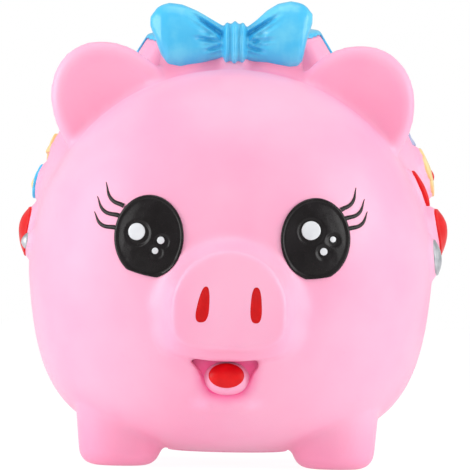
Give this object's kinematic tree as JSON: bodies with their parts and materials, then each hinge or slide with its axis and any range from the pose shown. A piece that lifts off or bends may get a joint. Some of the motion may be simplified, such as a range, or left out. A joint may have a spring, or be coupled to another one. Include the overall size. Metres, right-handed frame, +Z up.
{
  "type": "figural animal coin bank",
  "caption": "Hollow soft vinyl pig-shaped coin bank with a bow on its head, a slot in its back and a push-in belly stopper.",
  "frame": {"origin": "on the surface the bank stands on, under the middle of the whole bank", "axes": "+X to the pig's own left, -Y the way the pig faces, +Z up"},
  "size_m": [0.1738, 0.176, 0.1845],
  "materials": {
    "pink_vinyl": "satin",
    "blue_paint": "satin",
    "black_paint": "gloss",
    "white_paint": "gloss",
    "red_paint": "satin",
    "magenta_paint": "satin",
    "silver_paint": "metallic satin",
    "yellow_paint": "satin",
    "grey_blue_paint": "satin",
    "stopper_vinyl": "satin"
  },
  "bodies": {
    "bank": {"body_shell": "pink_vinyl", "bow": "blue_paint", "slot_saddle": "blue_paint", "eye_left": "black_paint", "eye_right": "black_paint", "eye_glints_left": "white_paint", "eye_glints_right": "white_paint", "eyelashes_left": "black_paint", "eyelashes_right": "black_paint", "nostril_left": "red_paint", "nostril_right": "red_paint", "mouth_lining": "magenta_paint", "tongue": "red_paint", "heart_left": "red_paint", "heart_right": "red_paint", "silver_coin_left": "silver_paint", "silver_coin_right": "silver_paint", "flower_left": "yellow_paint", "flower_right": "blue_paint", "flower_centre_left": "red_paint", "flower_centre_right": "yellow_paint", "star_left": "grey_blue_paint", "star_right": "yellow_paint", "leaf_left": "red_paint", "tail": "pink_vinyl"},
    "stopper": {"belly_stopper": "stopper_vinyl"}
  },
  "joints": [
    {"name": "stopper_pull", "type": "slide", "parent": "bank", "child": "stopper", "axis": [0, 0, -1], "range_m": [0, 0.03]}
  ]
}
